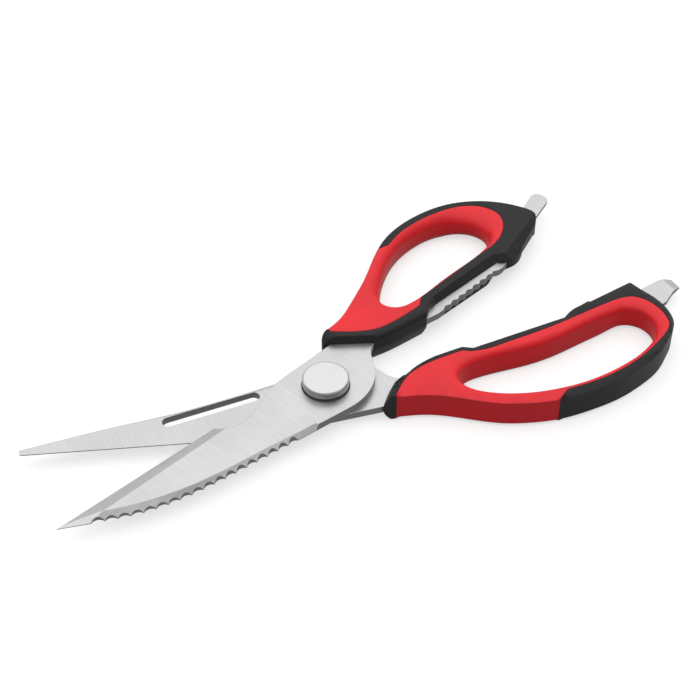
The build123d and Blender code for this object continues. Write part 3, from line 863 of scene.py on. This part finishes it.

# Reach of the lightened edges (worn, and a painted highlight on the plated parts and the red grip) and
# depth of the bump, in metres
STEEL_EDGE_REACH = 0.00022
PLATED_EDGE_REACH = 0.0002
MOULDED_EDGE_REACH = 0.0003
BRUSHED_BUMP = 0.000012
MOULDED_BUMP = 0.00004


class Finish:
    """A node material: its Principled shader and the small steps that feed it."""

    def __init__(self, name, metallic=0.0, **constants):
        self.material = bpy.data.materials.new(name)
        self.material.use_nodes = True
        self.tree = self.material.node_tree
        self.shader = self.tree.nodes["Principled BSDF"]
        self.shader.inputs["Metallic"].default_value = metallic
        for socket, value in constants.items():
            self.shader.inputs[socket.replace("_", " ")].default_value = value
        self.where = self.node("ShaderNodeTexCoord").outputs["Object"]
        self.normal = None

    def node(self, kind, **settings):
        made = self.tree.nodes.new(kind)
        for key, value in settings.items():
            setattr(made, key, value)
        return made

    def feed(self, socket, value):
        if isinstance(value, bpy.types.NodeSocket):
            self.tree.links.new(value, socket)
        else:
            socket.default_value = value

    def math(self, operation, first, second=0.0):
        made = self.node("ShaderNodeMath", operation=operation)
        self.feed(made.inputs[0], first)
        self.feed(made.inputs[1], second)
        return made.outputs[0]

    def length(self, vector):
        """The vector's length, in metres for a place on the object."""
        made = self.node("ShaderNodeVectorMath", operation="LENGTH")
        self.feed(made.inputs[0], vector)
        return made.outputs["Value"]

    def upward(self):
        """Height of the surface's normal: 1 on a level top, 0 on a wall, -1 on an underside."""
        made = self.node("ShaderNodeSeparateXYZ")
        self.feed(made.inputs[0], self.node("ShaderNodeNewGeometry").outputs["True Normal"])
        return made.outputs["Z"]

    def turned(self, degrees, stretch):
        """Object coordinates turned about the pivot's axis and then stretched."""
        turn = self.node("ShaderNodeVectorRotate", rotation_type="Z_AXIS")
        self.feed(turn.inputs["Vector"], self.where)
        self.feed(turn.inputs["Angle"], math.radians(degrees))
        made = self.node("ShaderNodeMapping")
        self.feed(made.inputs["Vector"], turn.outputs[0])
        self.feed(made.inputs["Scale"], stretch)
        return made.outputs[0]

    def noise(self, scale, where=None, detail=4.0, roughness=0.6):
        """Noise with a scale in features per metre, from 0 to 1."""
        made = self.node("ShaderNodeTexNoise")
        self.feed(made.inputs["Vector"], self.where if where is None else where)
        self.feed(made.inputs["Scale"], scale)
        self.feed(made.inputs["Detail"], detail)
        self.feed(made.inputs["Roughness"], roughness)
        return made.outputs["Fac"]

    def streaks(self, degrees, stretch, detail):
        """Noise drawn out into lines at an angle to the part's x."""
        return self.noise(1.0, self.turned(degrees, stretch), detail)

    def ranged(self, value, low, high, to_low=0.0, to_high=1.0):
        """The value from low to high mapped on another range, and held at its ends."""
        made = self.node("ShaderNodeMapRange", clamp=True)
        for socket, given in zip(made.inputs, (value, low, high, to_low, to_high)):
            self.feed(socket, given)
        return made.outputs[0]

    def blend(self, share, first, second):
        """The first colour where the share is 0, the second where it is 1."""
        made = self.node("ShaderNodeMix", data_type="RGBA")
        for socket, given in ((0, share), (6, first), (7, second)):
            self.feed(made.inputs[socket], (*given, 1) if isinstance(given, tuple) else given)
        return made.outputs[2]

    def edges(self, radius):
        """How far the surface turns within a small radius: 0 on a face, 1 on an edge."""
        self.normal = self.node("ShaderNodeBevel", samples=6)
        self.normal.inputs["Radius"].default_value = radius
        facing = self.node("ShaderNodeVectorMath", operation="DOT_PRODUCT")
        self.feed(facing.inputs[0], self.normal.outputs[0])
        self.feed(facing.inputs[1], self.node("ShaderNodeNewGeometry").outputs["Normal"])
        return self.ranged(facing.outputs["Value"], 0.995, 0.9)

    def bump(self, height, strength, distance):
        made = self.node("ShaderNodeBump")
        self.feed(made.inputs["Height"], height)
        made.inputs["Strength"].default_value = strength
        made.inputs["Distance"].default_value = distance
        if self.normal is not None:
            self.feed(made.inputs["Normal"], self.normal.outputs[0])
        self.normal = made

    def done(self, color, roughness):
        self.feed(self.shader.inputs["Base Color"], color)
        self.feed(self.shader.inputs["Roughness"], roughness)
        if self.normal is not None:
            self.feed(self.shader.inputs["Normal"], self.normal.outputs[0])
        return self.material


def brushed_steel(name, turn):
    """Ground steel: lines across the blade, others along the bevels, dull sides from the stamping
    darkened further by painted shade, scratches.
    """
    finish = Finish(name, 1.0, Anisotropic=0.35)
    across = finish.streaks(-turn - BRUSH_TILT, (6200, 85, 900), 3.0)
    along = finish.streaks(-turn, (160, 3600, 900), 3.0)
    level = finish.math("ABSOLUTE", finish.upward())
    bevel = finish.ranged(level, 0.995, 0.97)
    # Walls of the plate, dull from the stamping and darkened by painted shade, chosen by the normal's
    # height
    stamped_shaded_sides = finish.ranged(level, 0.45, 0.15)
    lines = finish.math("ADD", finish.math("MULTIPLY", along, bevel),
                        finish.math("MULTIPLY", across, finish.math("SUBTRACT", 1.0, bevel)))
    smudge = finish.noise(45.0, detail=3.0)
    scratch = finish.ranged(finish.streaks(-turn - SCRATCH_TILT, (120, 2600, 120), 2.0), 0.70, 0.76)
    edge = finish.edges(STEEL_EDGE_REACH)
    # Side tone: the stamping's dull finish with painted shade
    sides = finish.blend(finish.noise(1800.0), STAMPED_SHADED_DARK, STAMPED_SHADED_LIGHT)
    tone = finish.blend(finish.ranged(lines, 0.3, 0.7), GROUND_DARK, GROUND_LIGHT)
    tone = finish.blend(finish.ranged(smudge, 0.35, 0.65, 0.0, 0.22), tone, SMUDGE)
    tone = finish.blend(finish.math("MULTIPLY", scratch, 0.35), tone, SCRATCH)
    tone = finish.blend(stamped_shaded_sides, tone, sides)
    tone = finish.blend(finish.math("MULTIPLY", edge, 0.45), tone, GROUND_EDGE)
    rough = finish.math("ADD", finish.ranged(lines, 0.25, 0.75, 0.31, 0.42),
                        finish.ranged(smudge, 0.3, 0.7, -0.03, 0.05))
    relieved = finish.math("SUBTRACT", lines, finish.math("MULTIPLY", scratch, 0.6))
    finish.bump(relieved, 0.35, BRUSHED_BUMP)
    return finish.done(tone, rough)


def plated_steel(name, color, roughness):
    """Turned and plated hardware: faint rings about the pivot's axis, painted shade on the sides, a
    few marks.
    """
    finish = Finish(name, 1.0)
    flat = finish.node("ShaderNodeVectorMath", operation="MULTIPLY")
    finish.feed(flat.inputs[0], finish.where)
    finish.feed(flat.inputs[1], (1, 1, 0))
    rings = finish.node("ShaderNodeTexNoise", noise_dimensions="1D")
    finish.feed(rings.inputs["W"], finish.length(flat.outputs[0]))
    finish.feed(rings.inputs["Scale"], 5200.0)
    rings = rings.outputs["Fac"]
    mark = finish.noise(260.0, detail=5.0)
    edge = finish.edges(PLATED_EDGE_REACH)
    # Painted shade: walls of the turned parts darker than their tops, by the normal's height
    side = finish.ranged(finish.upward(), 0.1, 0.75, 1.0, 0.0)
    dull = tuple(PLATED_DULL * part for part in color)
    painted_side_shade = tuple(PLATED_SIDE_SHADE * part for part in color)
    tone = finish.blend(finish.ranged(rings, 0.35, 0.65), dull, color)
    tone = finish.blend(side, tone, painted_side_shade)
    # Painted highlight: edges and the rim lightened towards a pale tone
    tone = finish.blend(finish.math("MULTIPLY", edge, 0.5), tone, PLATED_EDGE_HIGHLIGHT)
    rough = finish.math("ADD", finish.ranged(mark, 0.35, 0.7, roughness - 0.05, roughness + 0.08),
                        finish.ranged(rings, 0.3, 0.7, -0.03, 0.03))
    finish.bump(finish.math("ADD", rings, mark), 0.25, BRUSHED_BUMP)
    return finish.done(tone, rough)


def moulding(name, color, worn, roughness, grain, scuffs, **constants):
    """Moulded plastic or rubber: spark-eroded grain, slow mottling, fine scuffs and rubbed edges,
    which on the red grip also stand for a painted edge highlight.
    """
    finish = Finish(name, 0.0, **constants)
    pits = finish.noise(grain, detail=2.0, roughness=0.5)
    mottle = finish.noise(70.0, detail=5.0)
    hair = finish.ranged(finish.streaks(SCUFF_ANGLES[0], (150, 3000, 300), 2.0), 0.66, 0.74)
    cross = finish.ranged(finish.streaks(SCUFF_ANGLES[1], (170, 3300, 300), 2.0), 0.68, 0.76)
    patch = finish.ranged(finish.noise(55.0, detail=2.0), 0.45, 0.62)
    marks = finish.math("MULTIPLY", finish.math("MAXIMUM", hair, cross), patch)
    edge = finish.edges(MOULDED_EDGE_REACH)
    deep = tuple(MOULDED_DEEP * part for part in color)
    tone = finish.blend(finish.ranged(mottle, 0.35, 0.65), deep, color)
    tone = finish.blend(finish.ranged(pits, 0.45, 0.7, 0.0, 0.07), tone, worn)
    tone = finish.blend(finish.math("MULTIPLY", marks, scuffs), tone, worn)
    # Lighter edges: rubbed wear, and on the red grip a painted edge highlight
    tone = finish.blend(finish.math("MULTIPLY", edge, 0.25), tone, worn)
    rough = finish.math("ADD", finish.ranged(mottle, 0.3, 0.7, roughness - 0.05, roughness + 0.06),
                        finish.math("MULTIPLY", marks, 0.12))
    relieved = finish.math("SUBTRACT", pits, finish.math("MULTIPLY", marks, 0.4))
    finish.bump(relieved, 0.3, MOULDED_BUMP)
    return finish.done(tone, rough)


upper_steel = brushed_steel("brushed_steel_upper", UPPER_TURN)
lower_steel = brushed_steel("brushed_steel_lower", LOWER_TURN)
chrome = plated_steel("polished_head", CHROME, roughness=0.16)
zinc = plated_steel("zinc_plate", ZINC, roughness=0.30)
black = moulding(
    "black_moulding", BLACK, BLACK_WORN, roughness=0.44, grain=2600.0, scuffs=0.5,
    Specular_IOR_Level=0.2,
)
red = moulding(
    "red_grip", RED, RED_WORN_AND_HIGHLIGHT, roughness=0.46, grain=3400.0, scuffs=0.2, Specular_IOR_Level=0.3,
)
dark = moulding("dark_washer", WASHER, BLACK_WORN, roughness=0.5, grain=3000.0, scuffs=0.3)


def coat(piece, finish):
    """The finish as the piece's only material."""
    piece.data.materials.clear()
    piece.data.materials.append(finish)


def dress(piece, finish, body, node):
    """A new piece with its finish, the body it rides on and the node it stands for."""
    coat(piece, finish)
    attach(piece, body)
    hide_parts(node)


dress(upper_core, black, "upper_half", "upper_handle_core")
dress(upper_grip, red, "upper_half", "upper_handle_grip")
dress(lower_core, black, "lower_half", "lower_handle_core")
dress(lower_grip, red, "lower_half", "lower_handle_grip")
dress(upper_blade, upper_steel, "upper_half", "upper_blade")
dress(lower_blade, lower_steel, "lower_half", "lower_blade")
dress(head, chrome, "lower_half", "pivot_bolt")
for node, finish in (("pivot_washer", dark), ("lock_washer", zinc), ("pivot_nut", zinc)):
    coat(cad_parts[node], finish)


# Floor, light and camera

FLOOR_REACH = 3
FLOOR_GLOW = 0.62
GLOW_RISES = (0.2, 0.9)
FLOOR_BOUNCE = (0.14, 0.14, 0.14)
PAPER_LIGHT = (0.46, 0.46, 0.46)
PAPER_DARK = (0.44, 0.44, 0.44)
MIRRORED_FLOOR = 0.6
SOFT_SKY = (0.07, 0.75, 0.95)
MIRRORED_SKY = (0.95, 0.42, 0.45)
SOFTBOX_PLACE = (-0.1, -0.35, 0.9)
SOFTBOX_AIM = (-0.1, -0.35, 0)
SOFTBOX_SIZE = (2.3, 2.1)
SOFTBOX_POWER = 11.8
CAMERA_PLACE = (0.1499, 0.3118, 0.3343)
CAMERA_AIM = (-0.0156, -0.0137, 0.00545)
CAMERA_LENS = 77.0
CAMERA_SENSOR = 36

work = bmesh.new()
bmesh.ops.create_grid(work, x_segments=1, y_segments=1, size=FLOOR_REACH)
floor = piece_from("floor", work)


def seen_directly(tree, mirrored):
    """1 for rays from the camera, a share for mirrors and glass, 0 for light that bounces."""
    path = tree.nodes.new("ShaderNodeLightPath")
    share = path.outputs["Is Camera Ray"]
    for kind in ("Is Glossy Ray", "Is Transmission Ray"):
        part = tree.nodes.new("ShaderNodeMath")
        part.operation = "MULTIPLY_ADD"
        tree.links.new(path.outputs[kind], part.inputs[0])
        part.inputs[1].default_value = mirrored
        tree.links.new(share, part.inputs[2])
        share = part.outputs[0]
    return share


paper = Finish("floor", Specular_IOR_Level=0.0)
seen = seen_directly(paper.tree, MIRRORED_FLOOR)
glow = paper.ranged(paper.length(paper.where), *GLOW_RISES, FLOOR_GLOW, 1.0)
fibre = paper.ranged(paper.noise(900.0), 0.3, 0.7, 0.0, 0.02)
tone = paper.blend(seen, FLOOR_BOUNCE, paper.blend(fibre, PAPER_LIGHT, PAPER_DARK))
paper.feed(paper.shader.inputs["Emission Color"], (1, 1, 1, 1))
paper.feed(paper.shader.inputs["Emission Strength"], paper.math("MULTIPLY", seen, glow))
floor.data.materials.append(paper.done(tone, 0.9))

world = bpy.data.worlds.new("studio")
bpy.context.scene.world = world
world.use_nodes = True
tree = world.node_tree
background = tree.nodes["Background"]
background.inputs["Color"].default_value = (1, 1, 1, 1)
direction = tree.nodes.new("ShaderNodeTexCoord")
height = tree.nodes.new("ShaderNodeSeparateXYZ")
tree.links.new(direction.outputs["Generated"], height.inputs[0])
path = tree.nodes.new("ShaderNodeLightPath")


def sky(low, high, top):
    """Brightness that goes from low at the horizon to high at the height top, and stays there."""
    made = tree.nodes.new("ShaderNodeMapRange")
    tree.links.new(height.outputs["Z"], made.inputs[0])
    for socket, given in zip(made.inputs[1:5], (0.0, top, low, high)):
        socket.default_value = given
    return made.outputs[0]


def either(share, first, second):
    """The first level where the share is 0, the second where it is 1."""
    made = tree.nodes.new("ShaderNodeMix")
    tree.links.new(share, made.inputs[0])
    for socket, given in ((made.inputs[2], first), (made.inputs[3], second)):
        if isinstance(given, float):
            socket.default_value = given
        else:
            tree.links.new(given, socket)
    return made.outputs[0]


mirrored = tree.nodes.new("ShaderNodeMath")
mirrored.operation = "MAXIMUM"
tree.links.new(path.outputs["Is Glossy Ray"], mirrored.inputs[0])
tree.links.new(path.outputs["Is Transmission Ray"], mirrored.inputs[1])
level = either(mirrored.outputs[0], sky(*SOFT_SKY), sky(*MIRRORED_SKY))
level = either(path.outputs["Is Camera Ray"], level, 1.0)
tree.links.new(level, background.inputs["Strength"])


def aimed(made, place, aim):
    """A lamp or camera set at a place and turned to look at its aim."""
    made.location = place
    made.rotation_euler = (Vector(aim) - Vector(place)).to_track_quat("-Z", "Y").to_euler()
    bpy.context.scene.collection.objects.link(made)


softbox = bpy.data.lights.new("softbox_top", "AREA")
softbox.shape = "RECTANGLE"
softbox.size, softbox.size_y = SOFTBOX_SIZE
softbox.energy = SOFTBOX_POWER
aimed(bpy.data.objects.new("softbox_top", softbox), SOFTBOX_PLACE, SOFTBOX_AIM)

camera_data = bpy.data.cameras.new("camera")
camera_data.lens = CAMERA_LENS
camera_data.sensor_width = CAMERA_SENSOR
camera_data.clip_start = 0.01
camera = bpy.data.objects.new("camera", camera_data)
aimed(camera, CAMERA_PLACE, CAMERA_AIM)
bpy.context.scene.camera = camera
bpy.context.scene.view_settings.view_transform = "Standard"
